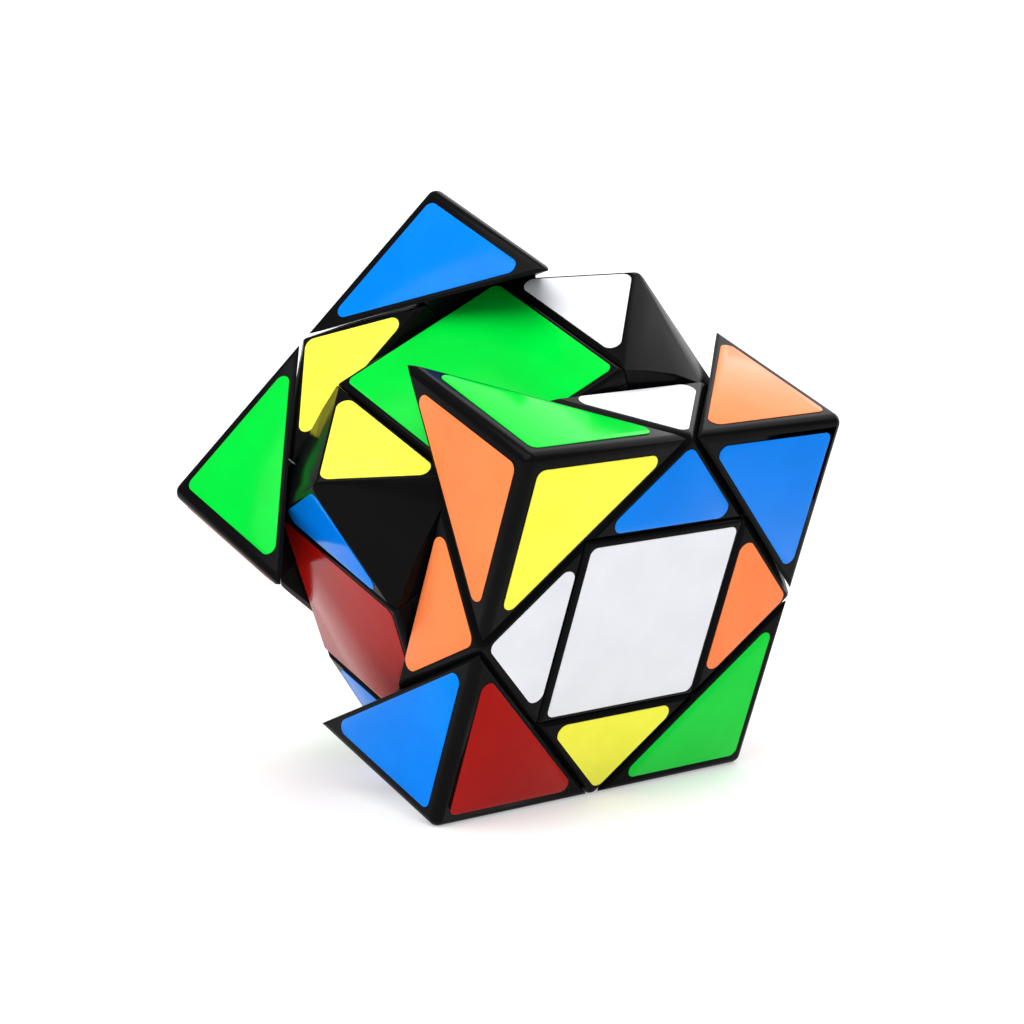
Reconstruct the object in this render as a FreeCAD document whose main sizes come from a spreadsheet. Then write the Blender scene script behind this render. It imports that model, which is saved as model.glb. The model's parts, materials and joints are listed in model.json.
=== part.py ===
# Cube-shaped face-turning puzzle with a six-armed core, 8 corners, 12 edges and 6 centres.
#
# Two frames are used. The puzzle frame has its origin at the core's centre, +X through the front
# centre, +Y to the right and +Z up, with the front layer square to it. The part's own frame has
# +Z up and the front of the puzzle towards -Y, with the puzzle standing on the floor at Z = 0.
# The middle slice and the back layer are turned part of the way about the front-back axis.
import FreeCAD
import Part
import Sketcher
import math
import os

Vector = FreeCAD.Vector
Placement = FreeCAD.Placement
Rotation = FreeCAD.Rotation
X_AXIS, Y_AXIS, Z_AXIS = Vector(1, 0, 0), Vector(0, 1, 0), Vector(0, 0, 1)

doc = FreeCAD.newDocument("CubePuzzle")
sheet = doc.addObject("Spreadsheet::Sheet", "Dims")

# Lengths in millimetres and angles in degrees.
DIMENSIONS = [
    ("half_edge", 28.5),        # half of the cube's 57 mm edge
    ("running_gap", 0.08),      # each shell stands this far back from its cut surface
    ("inner_gap", 0.12),        # the same for the feet, and for the ball between feet and shells
    ("wall", 1.5),              # wall of the hollow shells
    ("cube_round", 1.5),        # rounding along the cube's own edges
    ("corner_chamfer", 0.9),    # bevel along a corner piece's slanted borders
    ("edge_chamfer", 0.6),      # bevel round an edge piece's outer faces
    ("cap_round", 0.85),        # rounding of a centre cap's rim
    ("crease", 0.77),           # where the crease of an edge piece's flank ends, in half edges
    ("cone_end", 26.5),         # radius where the cut cone meets the flat ring halfway out
    ("ball_radius", 21.0),      # the ball that parts the shells outside from the feet inside
    ("foot_cut", 5.5),          # distance of the foot cuts from the centre
    ("foot_inner", 14.0),       # inner radius of the feet
    ("core_ball", 10.0),
    ("arm_radius", 4.0),
    ("arm_reach", 13.0),
    ("base_bottom", 13.2),      # inner end of a centre base
    ("base_floor", 3.0),        # thickness of the floor that the spring presses on
    ("cap_thick", 3.0),
    ("cavity_radius", 6.2),     # round pocket for spring, washer and screw head
    ("plug_radius", 6.0),       # ring under the cap that snaps into the pocket
    ("plug_wall", 1.2),
    ("plug_depth", 2.2),
    ("shank_radius", 1.4),
    ("thread_depth", 8.0),      # how far the screw goes into its arm
    ("head_radius", 3.0),
    ("head_height", 2.0),
    ("slot_width", 0.9),
    ("slot_depth", 1.0),
    ("shank_play", 0.25),       # room between the shank and the centre base
    ("washer_radius", 3.4),
    ("washer_thick", 0.5),
    ("spring_radius", 2.5),     # middle of the wire
    ("wire_radius", 0.3),
    ("spring_height", 3.6),
    ("spring_pitch", 0.9),
    ("spring_play", 0.06),
    ("corner_peg", 1.5),
    ("corner_collar", 2.2),
    ("edge_peg", 2.2),
    ("edge_collar", 3.2),
    ("peg_reach", 4.0),
    ("peg_play", 0.02),
    ("film", 0.12),             # thickness of a sticker
    ("corner_inset", 2.1),     # corner sticker to the cube's edges
    ("corner_slant_inset", 1.3),
    ("corner_tip_round", 1.2),
    ("edge_inset", 0.75),        # edge sticker to the piece's inner border
    ("edge_slant_inset", 0.95),
    ("edge_tip_round", 1.4),
    ("centre_inset", 1.05),
    ("centre_tip_round", 1.1),
    ("middle_turn", 29.69),     # middle slice, about the front-back axis
    ("back_turn", 52.56),       # back layer, about the same axis
]
for row, (alias, value) in enumerate(DIMENSIONS, start=1):
    sheet.set(f"A{row}", alias)
    sheet.set(f"B{row}", str(value))
    sheet.setAlias(f"B{row}", alias)
doc.recompute()


def dim(alias):
    """The value that the sheet holds for an alias."""
    return float(sheet.get(alias))


def bound(kind, name, **expressions):
    """Add an object of the document and bind its sizes to the sheet."""
    item = doc.addObject(kind, name)
    for prop, expression in expressions.items():
        item.setExpression(prop.replace("__", "."), expression)
    return item


def placed(name, source, placement):
    """One more copy of a shape at its own place."""
    item = doc.addObject("Part::Compound", name)
    item.Links = [source]
    item.Placement = placement
    return item


def fused(name, base, tool):
    item = doc.addObject("Part::Fuse", name)
    item.Base, item.Tool = base, tool
    return item


def common(name, base, tools):
    """What the base shares with every one of the tools."""
    for index, tool in enumerate(tools):
        item = doc.addObject("Part::Common", f"{name}_in{index}")
        item.Base, item.Tool = base, tool
        base = item
    return base


def cut(name, base, tools):
    """What is left of the base outside every one of the tools."""
    for index, tool in enumerate(tools):
        item = doc.addObject("Part::Cut", f"{name}_cut{index}")
        item.Base, item.Tool = base, tool
        base = item
    return base


def rounded(name, base, radius, wanted=None):
    """Round the edges of the base that a test picks out, or all of them."""
    doc.recompute()
    item = doc.addObject("Part::Fillet", name)
    item.Base = base
    item.Edges = [(number, radius, radius)
                  for number, edge in enumerate(base.Shape.Edges, start=1)
                  if wanted is None or wanted(edge)]
    return item


# ---- Cut surfaces -------------------------------------------------------------------------------

TOWARDS = {
    "+x": Rotation(Y_AXIS, 90), "-x": Rotation(Y_AXIS, -90),
    "+y": Rotation(X_AXIS, -90), "-y": Rotation(X_AXIS, 90),
    "+z": Rotation(), "-z": Rotation(X_AXIS, 180),
}
# Each cut surface has one seam line; these turns keep the seams of crossing surfaces apart.
SEAM_TURNS = {"+x": 11, "-x": 23, "+y": 37, "-y": 53, "+z": 71, "-z": 83}


def cone_slope():
    return dim("half_edge") / 2 / dim("cone_end")


def layer_region(name, gap):
    """Everything that belongs to the top layer, moved in by a gap.

    The lower side is a surface of revolution, so the layer turns freely: a cone round the core, a
    flat ring halfway out, and a hyperboloid that meets every side face in straight 45 degree lines
    through the middles of the cube's edges.
    """
    half = dim("half_edge")
    reach = 1.6 * half
    flat = half / 2 + gap
    slope = cone_slope()
    lift = gap * math.sqrt(1 + slope ** 2)

    def hyperboloid_radius(level):
        return math.sqrt(half ** 2 + (half + 2 * gap - level) ** 2)

    def rim(level):
        return Vector(hyperboloid_radius(level), 0, level)

    bottom = -1.0
    apex = Vector(0, 0, lift)
    ring_inner = Vector((flat - lift) / slope, 0, flat)
    below = Vector(reach, 0, bottom)
    above = Vector(reach, 0, reach)
    top = Vector(0, 0, reach)
    outline = [
        Part.LineSegment(apex, ring_inner),
        Part.LineSegment(ring_inner, rim(flat)),
        Part.Arc(rim(flat), rim((flat + bottom) / 2), rim(bottom)),
        Part.LineSegment(rim(bottom), below),
        Part.LineSegment(below, above),
        Part.LineSegment(above, top),
        Part.LineSegment(top, apex),
    ]
    section = Part.Face(Part.Wire([piece.toShape() for piece in outline]))
    item = doc.addObject("Part::Feature", name)
    item.Shape = section.revolve(Vector(), Z_AXIS, 360)
    return item


def flat_region(name, gap):
    """The same layer without the hyperboloid: the cone and the flat ring, carried on outwards.

    Edge and centre pieces reach no further than the ring, so this simpler form bounds them.
    """
    slope = "(Dims.half_edge / 2 / Dims.cone_end)"
    lift = f"({gap}) * sqrt(1 + {slope} ^ 2)"
    rise = f"(Dims.half_edge / 2 + ({gap}) - {lift})"
    cone = bound("Part::Cone", f"{name}_cone", Radius1="0", Radius2=f"{rise} / {slope}", Height=rise,
                 Placement__Base__z=lift)
    slab = bound("Part::Box", f"{name}_slab", Length="4 * Dims.half_edge", Width="4 * Dims.half_edge",
                 Height="2 * Dims.half_edge", Placement__Base__x="-2 * Dims.half_edge",
                 Placement__Base__y="-2 * Dims.half_edge",
                 Placement__Base__z=f"Dims.half_edge / 2 + ({gap})")
    return fused(name, cone, slab)


def on_sides(name, source, sides):
    return {side: placed(f"{name}_{index}", source,
                         Placement(Vector(), TOWARDS[side] * Rotation(Z_AXIS, SEAM_TURNS[side])))
            for index, side in enumerate(sides)}


def centred_box(name, half_size):
    """A cube about the core's centre; half_size is an expression."""
    sizes = {prop: f"2 * ({half_size})" for prop in ("Length", "Width", "Height")}
    places = {f"Placement__Base__{axis}": f"-({half_size})" for axis in "xyz"}
    return bound("Part::Box", name, **sizes, **places)


def ball(name, radius):
    return bound("Part::Sphere", name, Radius=radius)


def on_outer_face(edge):
    """True for an edge in one of the cube's faces that isn't the border of the cube's rounding."""
    half = dim("half_edge")
    line = half - dim("cube_round")
    points = [edge.valueAt(edge.FirstParameter), edge.valueAt(edge.LastParameter),
              edge.valueAt((edge.FirstParameter + edge.LastParameter) / 2)]
    columns = [[abs(point[axis]) for point in points] for axis in range(3)]

    def all_at(column, value):
        return all(abs(number - value) < 1e-3 for number in column)

    in_face = any(all_at(column, half) for column in columns)
    at_rounding = any(all_at(column, line) for column in columns)
    return in_face and not at_rounding


cube_block = centred_box("cube_block", "Dims.half_edge")
shell_ball = ball("shell_ball", "Dims.ball_radius + Dims.inner_gap")
hollow_ball = ball("hollow_ball", "Dims.ball_radius + Dims.inner_gap + Dims.wall")
# The outer bodies without the ball, so that no cut has to work close to the cones' tips.
cube_body = cut("cube_body", rounded("cube_round", cube_block, dim("cube_round")), [shell_ball])
hollow_body = cut("hollow_body", centred_box("hollow_block", "Dims.half_edge - Dims.wall"),
                  [hollow_ball])
foot_ball = ball("foot_ball", "Dims.ball_radius - Dims.inner_gap")
foot_void = ball("foot_void", "Dims.foot_inner")
POSITIVE = ["+x", "+y", "+z"]
SIDEWAYS = ["+x", "-x", "+y", "-y"]
inside = on_sides("inside", layer_region("inside", dim("running_gap")), POSITIVE)
inside_hollow = on_sides("inside_hollow", layer_region("inside_hollow", dim("running_gap") + dim("wall")),
                         POSITIVE)
flat_inside = on_sides("flat_inside", flat_region("flat_inside", "Dims.running_gap"), POSITIVE)
flat_inside_hollow = on_sides("flat_inside_hollow",
                              flat_region("flat_inside_hollow", "Dims.running_gap + Dims.wall"), POSITIVE)
outside = on_sides("outside", flat_region("outside", "-Dims.running_gap"), SIDEWAYS)
outside_hollow = on_sides("outside_hollow",
                          flat_region("outside_hollow", "-Dims.running_gap - Dims.wall"), SIDEWAYS)


def box_between(name, low, high):
    """A box; low and high hold one expression for each axis."""
    sizes = {prop: f"({top}) - ({bottom})"
             for prop, bottom, top in zip(("Length", "Width", "Height"), low, high)}
    places = {f"Placement__Base__{axis}": bottom for axis, bottom in zip("xyz", low)}
    return bound("Part::Box", name, **sizes, **places)


def radial_pin(name, radius, start, length, direction):
    """A cylinder that points away from the core's centre."""
    item = bound("Part::Cylinder", name, Radius=radius, Height=length)
    turn = Rotation(Z_AXIS, direction)
    doc.recompute()
    item.Placement = Placement(turn.multVec(Vector(0, 0, start)), turn)
    return item


def pegged_foot(name, block, direction, peg, collar):
    """A foot between two balls, with a collar that seats its shell and a peg that holds it."""
    radius = dim("ball_radius")
    foot = cut(name, common(name, block, [foot_ball]), [foot_void])
    seat = radial_pin(f"{name}_collar", f"Dims.{collar}", radius - 1.5, "1.5", direction)
    seat.setExpression("Height", "1.5 + Dims.inner_gap")
    pin = radial_pin(f"{name}_peg", f"Dims.{peg}", radius - 1.5, "1.5", direction)
    pin.setExpression("Height", "1.5 + Dims.inner_gap + Dims.peg_reach")
    seat_in_ball = common(f"{name}_seat", seat, [shell_ball])
    return fused(name, fused(f"{name}_stem", foot, seat_in_ball), pin)


def peg_hole(name, direction, peg):
    return radial_pin(name, f"Dims.{peg} + Dims.peg_play", dim("ball_radius") - 2,
                      "4 + Dims.peg_reach", direction)


# ---- Corner piece at +X +Y +Z -------------------------------------------------------------------

def half_space(name, point, normal):
    """A large box on the outer side of a plane."""
    half = dim("half_edge")
    block = bound("Part::Box", name, Length="4 * Dims.half_edge", Width="4 * Dims.half_edge",
                  Height="2 * Dims.half_edge")
    doc.recompute()
    turn = Rotation(Z_AXIS, normal)
    block.Placement = Placement(point + turn.multVec(Vector(-2 * half, -2 * half, 0)), turn)
    return block


def bevels(name, borders, width):
    """Boxes that bevel an outer face's borders at 45 degrees.

    Each border is a point on it, the direction out of the face across it, and the face's normal.
    """
    return [half_space(f"{name}{index}", point - outward * width, (outward + outer).normalize())
            for index, (point, outward, outer) in enumerate(borders)]


def corner_borders():
    half = dim("half_edge")
    return [(outer * half + (first + second) * (half / 2), -(first + second).normalize(), outer)
            for outer, first, second in ((X_AXIS, Y_AXIS, Z_AXIS), (Y_AXIS, Z_AXIS, X_AXIS),
                                         (Z_AXIS, X_AXIS, Y_AXIS))]


def corner_shell():
    body = cut("corner", cube_body, bevels("corner_bevel", corner_borders(), dim("corner_chamfer")))
    solid = common("corner", body, [inside["+x"], inside["+y"], inside["+z"]])
    hollow = common("corner_hollow", hollow_body, [inside_hollow["+x"], inside_hollow["+y"],
                                                   inside_hollow["+z"]])
    hole = peg_hole("corner_hole", Vector(1, 1, 1), "corner_peg")
    return cut("corner_shell", solid, [hollow, hole])


def corner_foot():
    low = ["Dims.foot_cut + Dims.inner_gap"] * 3
    block = box_between("corner_foot_block", low, ["Dims.half_edge"] * 3)
    return pegged_foot("corner_foot", block, Vector(1, 1, 1), "corner_peg", "corner_collar")


# ---- Edge piece at +Y +Z ------------------------------------------------------------------------

def flank_blocks(name, inset):
    """Four boxes that cut an edge piece's creased flanks, moved in by an inset."""
    half = dim("half_edge")
    apex = Vector(0, half, half)
    blocks = []
    for side in (1, -1):
        crease = Vector(side * half / 2, dim("crease") * half, dim("crease") * half)
        for wing, base in enumerate((Vector(side * half / 2, half / 2, half),
                                     Vector(side * half / 2, half, half / 2))):
            normal = (base - apex).cross(crease - apex).normalize()
            if normal.x * side < 0:
                normal = -normal
            blocks.append(half_space(f"{name}_{'left' if side < 0 else 'right'}{wing}",
                                     apex - normal * inset, normal))
    return blocks


def edge_borders():
    """The base and the two slants of the triangle on each outer face."""
    half = dim("half_edge")
    borders = []
    for outer, inner in ((Z_AXIS, Y_AXIS), (Y_AXIS, Z_AXIS)):
        middle = outer * half + inner * (half / 2)
        borders.append((middle, -inner, outer))
        for sideways in (X_AXIS, -X_AXIS):
            borders.append((middle + sideways * (half / 2), (sideways + inner).normalize(), outer))
    return borders


def edge_shell():
    gap, wall = dim("running_gap"), dim("wall")
    body = common("edge", cube_body, [flat_inside["+y"], flat_inside["+z"]])
    solid = cut("edge", body, [outside["+x"], outside["-x"]] + flank_blocks("flank", 1.2 * gap)
                + bevels("edge_bevel", edge_borders(), dim("edge_chamfer")))
    hollow = common("edge_hollow", hollow_body, [flat_inside_hollow["+y"], flat_inside_hollow["+z"]])
    pocket = cut("edge_pocket", hollow, [outside_hollow["+x"], outside_hollow["-x"]]
                 + flank_blocks("hollow_flank", 1.2 * gap + wall))
    hole = peg_hole("edge_hole", Vector(0, 1, 1), "edge_peg")
    return cut("edge_shell", solid, [pocket, hole])


def edge_foot():
    side = "Dims.foot_cut - Dims.inner_gap"
    low = [f"-({side})"] + ["Dims.foot_cut + Dims.inner_gap"] * 2
    block = box_between("edge_foot_block", low, [side, "Dims.half_edge", "Dims.half_edge"])
    return pegged_foot("edge_foot", block, Vector(0, 1, 1), "edge_peg", "edge_collar")


# ---- Centre piece at +Z -------------------------------------------------------------------------

def upright(name, radius, bottom, height):
    """A cylinder on the top arm's axis."""
    return bound("Part::Cylinder", name, Radius=radius, Height=height, Placement__Base__z=bottom)


def centre_block():
    body = common("centre", cube_body, [flat_inside["+z"]])
    return cut("centre", body, [outside[side] for side in ("+x", "-x", "+y", "-y")])


def centre_base(block):
    side = "Dims.foot_cut - Dims.inner_gap"
    stem = box_between("centre_stem", [f"-({side})", f"-({side})", "Dims.base_bottom"],
                      [side, side, "Dims.half_edge - 2 * Dims.cap_thick"])
    slab = cap_slab("base_slab")
    skirt = cut("centre_skirt", block, [slab])
    whole = fused("centre_whole", skirt, stem)
    pocket = upright("centre_pocket", "Dims.cavity_radius", "Dims.base_bottom + Dims.base_floor",
                     "Dims.half_edge")
    bore = upright("centre_bore", "Dims.shank_radius + Dims.shank_play", "0", "Dims.half_edge")
    return cut("centre_base", whole, [pocket, bore])


def cap_slab(name):
    half = "Dims.half_edge"
    return box_between(name, [f"-{half}", f"-{half}", f"{half} - Dims.cap_thick"], [half] * 3)


def centre_cap(block):
    plate = common("cap_plate", block, [cap_slab("cap_slab")])
    rim = rounded("cap_rounded", plate, dim("cap_round"), on_outer_face)
    ring = upright("cap_ring", "Dims.plug_radius", "Dims.half_edge - Dims.cap_thick - Dims.plug_depth",
                   "Dims.plug_depth + 0.5")
    ring_void = upright("cap_ring_void", "Dims.plug_radius - Dims.plug_wall",
                        "Dims.half_edge - Dims.cap_thick - Dims.plug_depth - 1",
                        "Dims.plug_depth + 1")
    return cut("centre_cap", fused("cap_whole", rim, ring), [ring_void])


# ---- Core and its fasteners ---------------------------------------------------------------------

def core():
    whole = ball("core_ball_solid", "Dims.core_ball")
    arm = upright("core_arm", "Dims.arm_radius", "0", "Dims.arm_reach")
    bore = upright("core_bore", "Dims.shank_radius", "Dims.arm_reach - Dims.thread_depth",
                   "Dims.thread_depth + 1")
    for index, turn in enumerate(TOWARDS.values()):
        whole = fused(f"core_with_arm{index}", whole,
                      placed(f"arm{index}", arm, Placement(Vector(), turn)))
    bores = [placed(f"bore{index}", bore, Placement(Vector(), turn))
             for index, turn in enumerate(TOWARDS.values())]
    return cut("core_bored", whole, bores)


SPRING_FOOT = "Dims.base_bottom + Dims.base_floor + Dims.spring_play"
SPRING_TOP = f"{SPRING_FOOT} + Dims.spring_height"
HEAD_FOOT = f"{SPRING_TOP} + Dims.washer_thick"
HEAD_TOP = f"{HEAD_FOOT} + Dims.head_height"


def screw():
    shank = upright("screw_shank", "Dims.shank_radius", "Dims.arm_reach - Dims.thread_depth",
                    f"{HEAD_FOOT} - Dims.arm_reach + Dims.thread_depth + 0.5")
    head = upright("screw_head", "Dims.head_radius", HEAD_FOOT, "Dims.head_height")
    slots = []
    for index, (long_side, short_side) in enumerate((("Dims.head_radius * 0.6", "Dims.slot_width / 2"),
                                                     ("Dims.slot_width / 2", "Dims.head_radius * 0.6"))):
        slots.append(box_between(f"screw_slot{index}",
                                [f"-({long_side})", f"-({short_side})", f"{HEAD_TOP} - Dims.slot_depth"],
                                [long_side, short_side, f"{HEAD_TOP} + 1"]))
    return cut("screw_slotted", fused("screw_whole", shank, head), slots)


def washer():
    disc = upright("washer_disc", "Dims.washer_radius", SPRING_TOP, "Dims.washer_thick")
    hole = upright("washer_hole", "Dims.shank_radius + 0.1", SPRING_TOP, "Dims.washer_thick")
    return cut("washer", disc, [hole])


def spring():
    """Closed ends are left out: the wire is one even helix between floor and washer."""
    helix = bound("Part::Helix", "spring_helix", Radius="Dims.spring_radius",
                  Pitch="Dims.spring_pitch", Height="Dims.spring_height - 2 * Dims.wire_radius",
                  SegmentLength="1", Placement__Base__z=f"{SPRING_FOOT} + Dims.wire_radius")
    wire = bound("Part::Circle", "spring_wire", Radius="Dims.wire_radius",
                 Placement__Base__x="Dims.spring_radius",
                 Placement__Base__z=f"{SPRING_FOOT} + Dims.wire_radius")
    doc.recompute()
    wire.Placement = Placement(wire.Placement.Base, Rotation(X_AXIS, 90))
    coil = doc.addObject("Part::Sweep", "spring_coil")
    coil.Sections = [wire]
    coil.Spine = (helix, [f"Edge{number + 1}" for number in range(len(helix.Shape.Edges))])
    coil.Solid = True
    coil.Frenet = True
    return coil


# ---- Stickers -----------------------------------------------------------------------------------

def sticker(name, corners, tip_round):
    """A film with straight sides and round corners; each corner is a pair of expressions."""
    body = doc.addObject("PartDesign::Body", name)
    sketch = body.newObject("Sketcher::SketchObject", f"{name}_outline")
    plane = next(item for item in body.Origin.OriginFeatures if item.Role == "XY_Plane")
    sketch.AttachmentSupport = [(plane, "")]
    sketch.MapMode = "FlatFace"
    guess = [Vector(0, 0, 0), Vector(20, 0, 0), Vector(20, 20, 0), Vector(0, 20, 0)][:len(corners)]
    for index, point in enumerate(guess):
        sketch.addGeometry(Part.LineSegment(point, guess[(index + 1) % len(guess)]), False)
    for index, (across, along) in enumerate(corners):
        following = (index + 1) % len(corners)
        sketch.addConstraint(Sketcher.Constraint("Coincident", index, 2, following, 1))
        for kind, expression in (("DistanceX", across), ("DistanceY", along)):
            number = sketch.addConstraint(Sketcher.Constraint(kind, -1, 1, index, 1, 5.0))
            sketch.setExpression(f"Constraints[{number}]", expression)
    pad = body.newObject("PartDesign::Pad", f"{name}_film")
    pad.Profile = sketch
    pad.setExpression("Length", "Dims.film")
    doc.recompute()
    uprights = [f"Edge{number}" for number, edge in enumerate(pad.Shape.Edges, start=1)
                if abs(edge.Vertexes[0].Z - edge.Vertexes[-1].Z) > 1e-6]
    soft = body.newObject("PartDesign::Fillet", f"{name}_corners")
    soft.Base = (pad, uprights)
    soft.setExpression("Radius", f"Dims.{tip_round}")
    body.Tip = soft
    return body


def corner_sticker():
    inset = "Dims.corner_inset"
    far = f"Dims.half_edge - Dims.corner_slant_inset * sqrt(2) - {inset}"
    return sticker("corner_sticker", [(inset, inset), (far, inset), (inset, far)], "corner_tip_round")


def edge_sticker():
    slant = "Dims.edge_slant_inset * sqrt(2)"
    low = "Dims.edge_inset"
    return sticker("edge_sticker", [(f"{low} + {slant}", low),
                                    (f"Dims.half_edge - {low} - {slant}", low),
                                    ("Dims.half_edge / 2", f"Dims.half_edge / 2 - {slant}")],
                   "edge_tip_round")


def centre_sticker():
    low = "Dims.centre_inset"
    high = "Dims.half_edge - Dims.centre_inset"
    return sticker("centre_sticker", [(low, low), (high, low), (high, high), (low, high)],
                   "centre_tip_round")


# ---- The pieces and their stickers --------------------------------------------------------------

FACE_AXES = {"u": Z_AXIS, "d": -Z_AXIS, "r": Y_AXIS, "l": -Y_AXIS, "f": X_AXIS, "b": -X_AXIS}

# A piece is named by the faces it lies in (up, down, right, left, front, back), each with the
# colour of its sticker. The names hold in the piece's own layer, before the layer is turned.
PIECES = {
    "f": {"f": "white"},
    "ufl": {"u": "green", "f": "yellow", "l": "orange"},
    "ufr": {"u": "orange", "f": "blue", "r": "yellow"},
    "dfl": {"d": "white", "f": "red", "l": "blue"},
    "dfr": {"d": "yellow", "f": "green", "r": "red"},
    "uf": {"u": "white", "f": "blue"},
    "fl": {"f": "white", "l": "orange"},
    "fr": {"f": "orange", "r": "yellow"},
    "df": {"d": "red", "f": "yellow"},
    "u": {"u": "green"},
    "d": {"d": "blue"},
    "l": {"l": "red"},
    "r": {"r": "orange"},
    "ul": {"u": "yellow", "l": "blue"},
    "ur": {"u": "white", "r": "green"},
    "dl": {"d": "red", "l": "blue"},
    "dr": {"d": "white", "r": "red"},
    "b": {"b": "yellow"},
    "ubl": {"u": "green", "b": "white", "l": "orange"},
    "ubr": {"u": "blue", "b": "yellow", "r": "red"},
    "dbl": {"d": "white", "b": "red", "l": "green"},
    "dbr": {"d": "white", "b": "blue", "r": "orange"},
    "ub": {"u": "yellow", "b": "green"},
    "bl": {"b": "green", "l": "red"},
    "br": {"b": "blue", "r": "orange"},
    "db": {"d": "green", "b": "orange"},
}


def layer_of(piece):
    return "front" if "f" in piece else "back" if "b" in piece else "middle"


def axes_frame(face, towards):
    """The rotation whose first axis is a face's normal and whose second leans to another axis."""
    third = face.cross(towards).normalize()
    return Rotation(face, third.cross(face), third, "XYZ")


HOME = {1: (Z_AXIS, Y_AXIS), 2: (Z_AXIS, Y_AXIS), 3: (X_AXIS, Y_AXIS + Z_AXIS)}


def seat(piece, face):
    """Turns a piece or sticker from where it is modelled to its place in the cube.

    The modelled pieces are the centre at +Z, the edge at +Y +Z and the corner at +X +Y +Z.
    """
    others = [FACE_AXES[letter] for letter in piece if letter != face]
    normal = FACE_AXES[face]
    towards = sum(others, Vector()) if others else Vector(normal.y, normal.z, normal.x)
    home = axes_frame(*HOME[len(piece)])
    return Placement(Vector(), axes_frame(normal, towards) * home.inverted())


def sticker_home(kind):
    """Where a flat sticker lies on the piece that is modelled."""
    half = dim("half_edge")
    return {
        1: Placement(Vector(-half / 2, -half / 2, half), Rotation()),
        2: Placement(Vector(-half / 2, half / 2, half), Rotation()),
        3: Placement(Vector(half, half, half), Rotation(-Y_AXIS, -Z_AXIS, X_AXIS, "XYZ")),
    }[kind]


nodes = {}


def add_node(name, layer, copies):
    """A sub-part: copies of modelled shapes, each with its place in its own layer."""
    nodes[name] = (layer, copies)


def add_all_nodes():
    block = centre_block()
    shell = {2: edge_shell(), 3: corner_shell()}
    foot = {2: edge_foot(), 3: corner_foot()}
    base, cap = centre_base(block), centre_cap(block)
    film = {1: centre_sticker(), 2: edge_sticker(), 3: corner_sticker()}
    arms = [Placement(Vector(), turn) for turn in TOWARDS.values()]
    add_node("core", "middle", [(core(), Placement())])
    for name, fastener in (("axis_screws", screw()), ("axis_washers", washer()),
                           ("axis_springs", spring())):
        add_node(name, "middle", [(fastener, arm) for arm in arms])
    feet, films = {}, {}
    for piece, colours in PIECES.items():
        layer = layer_of(piece)
        place = seat(piece, piece[0])
        if len(piece) == 1:
            add_node(f"centre_base_{piece}", layer, [(base, place)])
            add_node(f"centre_cap_{piece}", layer, [(cap, place)])
        else:
            kind = {2: "edge", 3: "corner"}[len(piece)]
            add_node(f"{kind}_shell_{piece}", layer, [(shell[len(piece)], place)])
            feet.setdefault((layer, kind), []).append((foot[len(piece)], place))
        for face, colour in colours.items():
            home = sticker_home(len(piece))
            films.setdefault((layer, colour), []).append((film[len(piece)], seat(piece, face) * home))
    for (layer, kind), copies in feet.items():
        add_node(f"{layer}_{kind}_feet", layer, copies)
    for (layer, colour), copies in films.items():
        add_node(f"{layer}_stickers_{colour}", layer, copies)


# ---- Standing on the floor ----------------------------------------------------------------------

def layer_turn(layer):
    angle = {"front": 0.0, "middle": dim("middle_turn"), "back": dim("back_turn")}[layer]
    return Placement(Vector(), Rotation(X_AXIS, angle))


def points_of(layers):
    """Points all over the outer pieces of some layers, in the puzzle frame."""
    found = []
    for name, (layer, copies) in nodes.items():
        if layer in layers and ("shell" in name or "cap" in name or "stickers" in name):
            for shape, place in copies:
                move = layer_turn(layer) * place
                found += [move.multVec(point) for point in surface_points(shape)]
    return found


sampled = {}


def surface_points(item):
    if item.Name not in sampled:
        sampled[item.Name] = item.Shape.tessellate(0.05)[0]
    return sampled[item.Name]


def stance(lean):
    """From the puzzle frame to the part's own, leaning the front layer back by an angle."""
    angle = math.radians(lean)
    forward = Vector(0, -math.cos(angle), -math.sin(angle))
    upward = Vector(0, -math.sin(angle), math.cos(angle))
    return Rotation(forward, X_AXIS, upward, "XYZ")


def lowest(points, lean):
    turn = stance(lean)
    return min(turn.multVec(point).z for point in points)


def resting_place():
    """The lean at which the front layer's bottom edge and the back layer's lowest tip both touch."""
    front, back = points_of(["front"]), points_of(["back"])
    low, high = 0.0, 40.0
    for _ in range(30):
        middle = (low + high) / 2
        if lowest(back, middle) < lowest(front, middle):
            low = middle
        else:
            high = middle
    lean = (low + high) / 2
    turn = stance(lean)
    spots = [turn.multVec(point) for point in front + back + points_of(["middle"])]
    centre = [(min(values) + max(values)) / 2 for values in zip(*[(spot.x, spot.y) for spot in spots])]
    floor = min(spot.z for spot in spots)
    size = [max(values) - min(values) for values in zip(*[(spot.x, spot.y, spot.z) for spot in spots])]
    print(f"lean {lean:.6f} deg, core's centre at {-centre[0]:.5f}, {-centre[1]:.5f}, {-floor:.5f}")
    print(f"middle slice clears the floor by {lowest(points_of(['middle']), lean) - floor:.3f} mm")
    print("size " + " x ".join(f"{length:.2f}" for length in size))
    return Placement(Vector(-centre[0], -centre[1], -floor), turn)


def build_node(name, stand):
    layer, copies = nodes[name]
    whole = doc.addObject("Part::Compound", name)
    whole.Label = name
    whole.Links = [placed(f"{name}_{index}", shape, place)
                   for index, (shape, place) in enumerate(copies)]
    whole.Placement = stand * layer_turn(layer)
    return whole


def check(parts):
    for item in doc.Objects:
        if "Invalid" in item.State or "Error" in item.State:
            raise RuntimeError(f"{item.Name} failed: {item.State}")
    for part in parts:
        if part.Shape.isNull() or not part.Shape.isValid() or not part.Shape.Solids:
            raise RuntimeError(f"{part.Label} has no valid solid")


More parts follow.
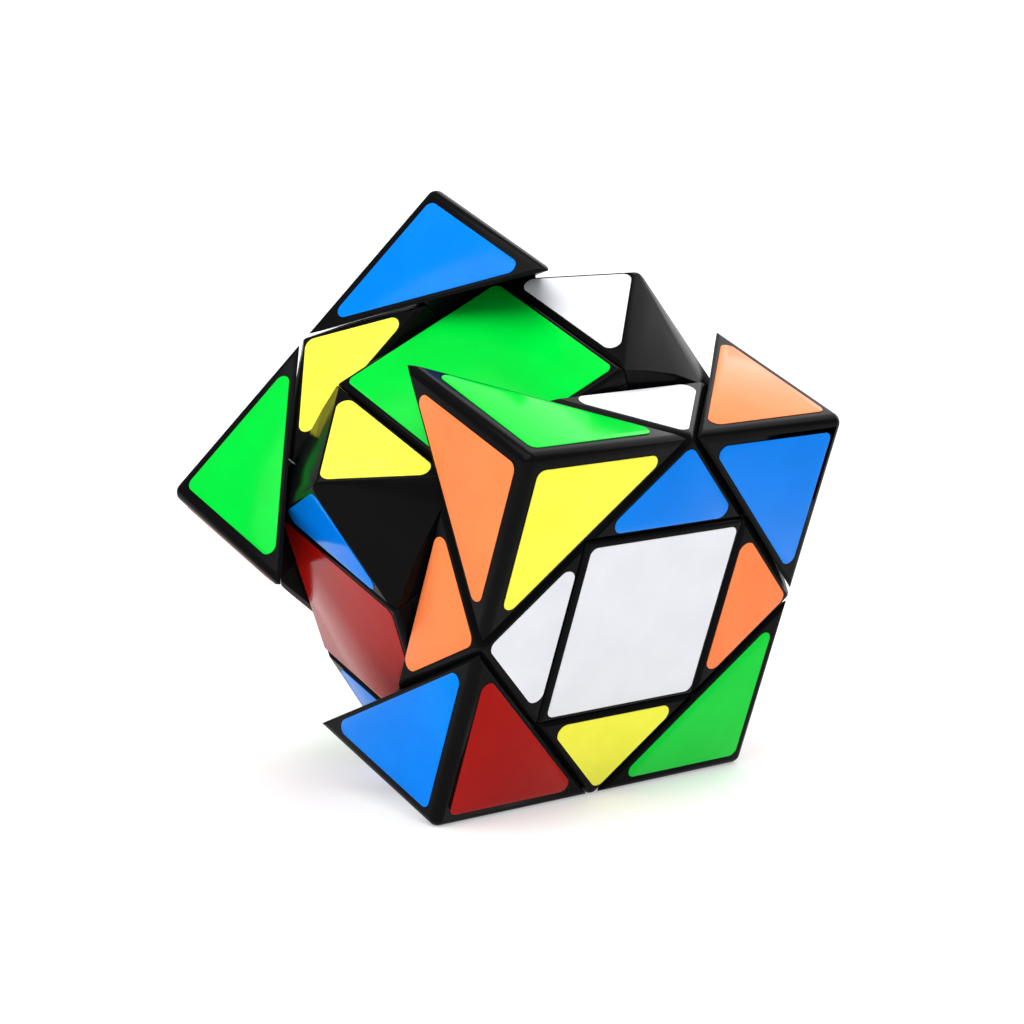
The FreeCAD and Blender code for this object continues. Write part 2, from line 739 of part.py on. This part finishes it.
add_all_nodes()
doc.recompute()
stand = resting_place()
parts = [build_node(name, stand) for name in nodes]
doc.recompute()
check(parts)
os.makedirs("parts", exist_ok=True)
for part in parts:
    part.Shape.exportStep(f"parts/{part.Label}.step")
print(f"{len(parts)} nodes")
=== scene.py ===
# Cube-shaped twisty puzzle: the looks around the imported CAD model. All lengths are in metres.
import bmesh
import bpy
import json
import math
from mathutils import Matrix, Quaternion, Vector

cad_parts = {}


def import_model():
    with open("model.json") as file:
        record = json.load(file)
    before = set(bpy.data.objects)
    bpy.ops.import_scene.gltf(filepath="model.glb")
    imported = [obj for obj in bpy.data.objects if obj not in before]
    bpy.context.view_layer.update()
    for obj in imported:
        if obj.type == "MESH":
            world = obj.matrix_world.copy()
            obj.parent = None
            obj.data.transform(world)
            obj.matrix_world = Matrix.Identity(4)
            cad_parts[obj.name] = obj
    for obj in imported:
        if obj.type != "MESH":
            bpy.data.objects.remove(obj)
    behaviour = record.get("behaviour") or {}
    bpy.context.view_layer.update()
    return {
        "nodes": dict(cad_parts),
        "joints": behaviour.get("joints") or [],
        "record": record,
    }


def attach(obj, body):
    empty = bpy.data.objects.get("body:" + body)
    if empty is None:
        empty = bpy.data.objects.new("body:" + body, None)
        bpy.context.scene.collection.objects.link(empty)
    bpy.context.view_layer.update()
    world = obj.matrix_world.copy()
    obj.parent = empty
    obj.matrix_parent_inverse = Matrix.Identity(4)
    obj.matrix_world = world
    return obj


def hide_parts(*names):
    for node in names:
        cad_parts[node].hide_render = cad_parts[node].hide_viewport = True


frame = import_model()

MM = 0.001
NODES = frame["nodes"]
RECORD = frame["record"]
NODE_BODY = {node: body for body, members in RECORD["behaviour"]["bodies"].items()
             for node in members}
NODE_SLOT = {entry["node"]: entry["material_slot"] for entry in RECORD["subparts"]}
CORE = Vector(frame["joints"][0]["pos_m"])

WELD_DISTANCE = 0.002 * MM
FLAT_ANGLE = math.radians(0.5)      # neighbouring faces closer to one plane than this are joined
SHARP_ANGLE = math.radians(24)      # edges sharper than this are rounded
BEVEL_SEGMENTS = 2
STICKER_BEVEL = 0.05 * MM
PLASTIC_BEVELS = {"shell_plastic": 0.1 * MM, "inner_plastic": 0.15 * MM}

GLOSS_BLACK = (0.003, 0.003, 0.0034)
SATIN_BLACK = (0.006, 0.006, 0.0065)
WORN_BLACK = (0.03, 0.03, 0.032)
WHITE = (1.0, 1.0, 1.0, 1.0)

FLOOR_SIZE = 30
SKY_STRENGTH = 0.35
CAMERA_AZIMUTH, CAMERA_ELEVATION, CAMERA_ROLL = (math.radians(angle)
                                                 for angle in (-39.618, 9.831, -0.101))
CAMERA_DISTANCE = 0.46726
CAMERA_AIM = CORE + Vector((-0.421, 0.664, 1.404)) * MM
LENS_MM = 115.84
SENSOR_MM = 36.0


# ---- Material building blocks -------------------------------------------------------------------

class Graph:
    """A material's node graph, with short calls for the nodes that repeat."""

    def __init__(self, name):
        self.material = bpy.data.materials.new(name)
        self.material.use_nodes = True
        self.tree = self.material.node_tree
        self.shader = self.tree.nodes["Principled BSDF"]

    def add(self, kind, **settings):
        node = self.tree.nodes.new(kind)
        for key, value in settings.items():
            setattr(node, key, value)
        return node

    def link(self, output, socket):
        self.tree.links.new(output, socket)

    def place(self):
        """The point on the piece, in metres; it moves with the piece."""
        return self.add("ShaderNodeTexCoord").outputs["Object"]

    def noise(self, scale, detail=3.0, roughness=0.5, stretch=None):
        """Noise whose scale counts features for each metre."""
        texture = self.add("ShaderNodeTexNoise")
        texture.inputs["Scale"].default_value = scale
        texture.inputs["Detail"].default_value = detail
        texture.inputs["Roughness"].default_value = roughness
        place = self.place()
        if stretch:
            mapping = self.add("ShaderNodeMapping")
            mapping.inputs["Scale"].default_value = stretch
            mapping.inputs["Rotation"].default_value = (0.4, 0.7, 0.3)
            self.link(place, mapping.inputs["Vector"])
            place = mapping.outputs["Vector"]
        self.link(place, texture.inputs["Vector"])
        return texture.outputs["Fac"]

    def spread(self, value, low, high, to_low, to_high):
        """Maps a stretch of a value onto another, clamped."""
        node = self.add("ShaderNodeMapRange")
        for socket, number in zip(("From Min", "From Max", "To Min", "To Max"),
                                  (low, high, to_low, to_high)):
            node.inputs[socket].default_value = number
        self.link(value, node.inputs["Value"])
        return node.outputs["Result"]

    def maths(self, operation, first, second):
        node = self.add("ShaderNodeMath", operation=operation)
        for socket, value in zip(node.inputs, (first, second)):
            if isinstance(value, (int, float)):
                socket.default_value = value
            else:
                self.link(value, socket)
        return node.outputs["Value"]

    def blend(self, factor, first, second):
        """A colour between two colours."""
        node = self.add("ShaderNodeMix", data_type="RGBA")
        self.link(factor, node.inputs["Factor"])
        colours = [socket for socket in node.inputs if socket.type == "RGBA"]
        for socket, colour in zip(colours, (first, second)):
            if isinstance(colour, tuple):
                socket.default_value = (*colour, 1.0)
            else:
                self.link(colour, socket)
        return next(socket for socket in node.outputs if socket.type == "RGBA")

    def bump(self, height, distance, under=None):
        node = self.add("ShaderNodeBump")
        node.inputs["Strength"].default_value = 1.0
        node.inputs["Distance"].default_value = distance
        self.link(height, node.inputs["Height"])
        if under is not None:
            self.link(under, node.inputs["Normal"])
        return node.outputs["Normal"]

    def edge_wear(self, radius):
        """1 on outer edges and inner corners within a radius, 0 on open faces."""
        bevel = self.add("ShaderNodeBevel", samples=4)
        bevel.inputs["Radius"].default_value = radius
        product = self.add("ShaderNodeVectorMath", operation="DOT_PRODUCT")
        self.link(bevel.outputs["Normal"], product.inputs[0])
        self.link(self.add("ShaderNodeNewGeometry").outputs["Normal"], product.inputs[1])
        return self.spread(product.outputs["Value"], 1.0, 0.82, 0.0, 1.0)

    def set(self, **values):
        for name, value in values.items():
            socket = self.shader.inputs[name.replace("_", " ")]
            if isinstance(value, (int, float, tuple)):
                socket.default_value = value
            else:
                self.link(value, socket)
        return self.material


def srgb(red, green, blue):
    """Linear colour from the usual 0 to 255 values."""
    def linear(value):
        value /= 255
        return value / 12.92 if value <= 0.04045 else ((value + 0.055) / 1.055) ** 2.4
    return tuple(linear(value) for value in (red, green, blue))


# ---- Materials ----------------------------------------------------------------------------------

def moulded_black(name, base_rough, colour):
    """Injection-moulded black ABS: faint flow marks, smudges and fine scuffs."""
    graph = Graph(name)
    smudge = graph.noise(90, detail=4)
    grain = graph.noise(5200, detail=2)
    scuffs = graph.noise(700, detail=5, roughness=0.7, stretch=(1.0, 9.0, 1.0))
    wear = graph.edge_wear(0.35 * MM)
    scuffed = graph.spread(scuffs, 0.60, 0.72, 0.0, 1.0)
    dusty = graph.maths("MULTIPLY", wear, graph.spread(smudge, 0.35, 0.7, 0.05, 0.3))
    dark = graph.blend(graph.spread(smudge, 0.3, 0.75, 0.0, 1.0), colour,
                       tuple(1.25 * value for value in colour))
    shade = graph.blend(dusty, dark, WORN_BLACK)
    rough = graph.maths("ADD", graph.spread(smudge, 0.35, 0.7, base_rough, base_rough + 0.07),
                        graph.maths("MULTIPLY", scuffed, 0.08))
    peel = graph.bump(graph.noise(1100, detail=1), 0.0025 * MM)
    fine = graph.bump(grain, 0.0006 * MM, peel)
    return graph.set(Base_Color=shade, Roughness=rough, Normal=fine, IOR=1.12)


def vinyl(name, colour, shade):
    """Gloss vinyl film: even colour with faint mottling, smudges, and an orange-peel surface."""
    graph = Graph(name)
    mottle = graph.spread(graph.noise(160, detail=4), 0.35, 0.7, 0.0, 1.0)
    smudge = graph.noise(75, detail=5, roughness=0.6)
    scratches = graph.noise(900, detail=4, roughness=0.75, stretch=(1.0, 14.0, 1.0))
    scratched = graph.spread(scratches, 0.62, 0.74, 0.0, 0.06)
    rough = graph.maths("ADD", graph.spread(smudge, 0.35, 0.7, 0.13, 0.22), scratched)
    peel = graph.bump(graph.noise(850, detail=1), 0.002 * MM)
    fine = graph.bump(graph.noise(4200, detail=2), 0.0005 * MM, peel)
    return graph.set(Base_Color=graph.blend(mottle, colour, shade), Roughness=rough, Normal=fine,
                     IOR=1.15)


def plated_steel(name, colour, stretch):
    """Zinc-plated or drawn steel with fine lines along it."""
    graph = Graph(name)
    lines = graph.noise(2600, detail=4, stretch=stretch)
    tint = graph.spread(graph.noise(400), 0.3, 0.7, 0.0, 1.0)
    rough = graph.spread(lines, 0.3, 0.7, 0.22, 0.38)
    return graph.set(Base_Color=graph.blend(tint, colour, tuple(0.85 * value for value in colour)),
                     Roughness=rough, Metallic=1.0, Normal=graph.bump(lines, 0.002 * MM))


STICKER_COLOURS = {
    "white": (srgb(234, 235, 241), srgb(229, 230, 237)),
    "yellow": (srgb(254, 252, 80), srgb(249, 246, 72)),
    "orange": (srgb(255, 137, 79), srgb(252, 130, 73)),
    "red": (srgb(168, 18, 12), srgb(160, 15, 10)),
    "green": (srgb(0, 216, 60), srgb(0, 209, 55)),
    "blue": (srgb(0, 128, 236), srgb(0, 122, 229)),
}


def build_materials():
    made = {
        "shell_plastic": moulded_black("gloss_black_plastic", 0.16, GLOSS_BLACK),
        "inner_plastic": moulded_black("satin_black_plastic", 0.34, SATIN_BLACK),
        "fastener_steel": plated_steel("zinc_plated_steel", (0.62, 0.63, 0.66), (1.0, 6.0, 1.0)),
        "spring_steel": plated_steel("drawn_spring_steel", (0.55, 0.56, 0.58), (8.0, 1.0, 1.0)),
    }
    for colour, (main, shade) in STICKER_COLOURS.items():
        made[f"sticker_{colour}"] = vinyl(f"{colour}_vinyl", main, shade)
    return made


# ---- Pieces -------------------------------------------------------------------------------------

def welded(node):
    """A clean copy of a CAD node's mesh: joined vertices and whole flat faces."""
    mesh = NODES[node].data.copy()
    mesh.name = f"{node}_mesh"
    mesh.materials.clear()
    work = bmesh.new()
    work.from_mesh(mesh)
    bmesh.ops.remove_doubles(work, verts=work.verts, dist=WELD_DISTANCE)
    bmesh.ops.dissolve_limit(work, angle_limit=FLAT_ANGLE, use_dissolve_boundaries=False,
                             verts=work.verts, edges=work.edges)
    for face in work.faces:
        face.smooth = True
    work.to_mesh(mesh)
    work.free()
    return mesh


def finish(node, material, bevel_width):
    """Puts a piece with rounded edges in place of a CAD node."""
    piece = bpy.data.objects.new(f"{node}_finish", welded(node))
    bpy.context.scene.collection.objects.link(piece)
    piece.data.materials.append(material)
    bevel = piece.modifiers.new("rounded_edges", "BEVEL")
    bevel.width = bevel_width
    bevel.segments = BEVEL_SEGMENTS
    bevel.limit_method = "ANGLE"
    bevel.angle_limit = SHARP_ANGLE
    bevel.harden_normals = True
    bevel.use_clamp_overlap = True
    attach(piece, NODE_BODY[node])
    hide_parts(node)


def bevel_for(slot):
    """How far a slot's pieces are rounded; 0 where the CAD mesh is kept as it is."""
    if slot.startswith("sticker_"):
        return STICKER_BEVEL
    return PLASTIC_BEVELS.get(slot, 0)


def finish_nodes(materials):
    for node in NODES:
        slot = NODE_SLOT[node]
        bevel_width = bevel_for(slot)
        if bevel_width:
            finish(node, materials[slot], bevel_width)
        else:
            NODES[node].data.materials.clear()
            NODES[node].data.materials.append(materials[slot])


# ---- Floor, light and camera --------------------------------------------------------------------

def floor():
    """A plain pale floor that gives off a little light, which keeps it white."""
    graph = Graph("pale_floor")
    tone = graph.spread(graph.noise(6, detail=3), 0.3, 0.7, 0.0, 1.0)
    graph.set(Base_Color=graph.blend(tone, (0.60, 0.60, 0.60), (0.59, 0.59, 0.59)),
              Roughness=0.65, Emission_Color=WHITE, Emission_Strength=0.4)
    bpy.ops.mesh.primitive_plane_add(size=FLOOR_SIZE, location=(0, 0, 0))
    plane = bpy.context.object
    plane.name = "studio_floor"
    plane.data.materials.append(graph.material)


def world(strength):
    sky = bpy.data.worlds.new("studio")
    sky.use_nodes = True
    background = sky.node_tree.nodes["Background"]
    background.inputs["Color"].default_value = WHITE
    background.inputs["Strength"].default_value = strength
    bpy.context.scene.world = sky


def soft_sun(name, towards, irradiance, spread):
    """A wide, even light from one direction, as from a large softbox; spread is in degrees."""
    data = bpy.data.lights.new(name, "SUN")
    data.energy = irradiance
    data.angle = math.radians(spread)
    lamp = bpy.data.objects.new(name, data)
    lamp.rotation_mode = "QUATERNION"
    lamp.rotation_quaternion = (-Vector(towards)).to_track_quat("-Z", "Y")
    bpy.context.scene.collection.objects.link(lamp)


def camera():
    """A long lens a little above the floor, to the left of the front face."""
    level = math.cos(CAMERA_ELEVATION)
    back = Vector((math.sin(CAMERA_AZIMUTH) * level,
                   -math.cos(CAMERA_AZIMUTH) * level, math.sin(CAMERA_ELEVATION)))
    data = bpy.data.cameras.new("camera")
    data.lens = LENS_MM
    data.sensor_width = SENSOR_MM
    view = bpy.data.objects.new("camera", data)
    view.location = CAMERA_AIM + back * CAMERA_DISTANCE
    view.rotation_mode = "QUATERNION"
    view.rotation_quaternion = ((-back).to_track_quat("-Z", "Y")
                                @ Quaternion((0.0, 0.0, 1.0), CAMERA_ROLL))
    bpy.context.scene.collection.objects.link(view)
    bpy.context.scene.camera = view


finish_nodes(build_materials())
floor()
world(SKY_STRENGTH)
soft_sun("left_softbox", (-0.45, -0.10, 0.89), 3.0, 60)
soft_sun("right_softbox", (0.807, 0.142, 0.574), 2.3, 70)
camera()
bpy.context.scene.view_settings.view_transform = "Standard"
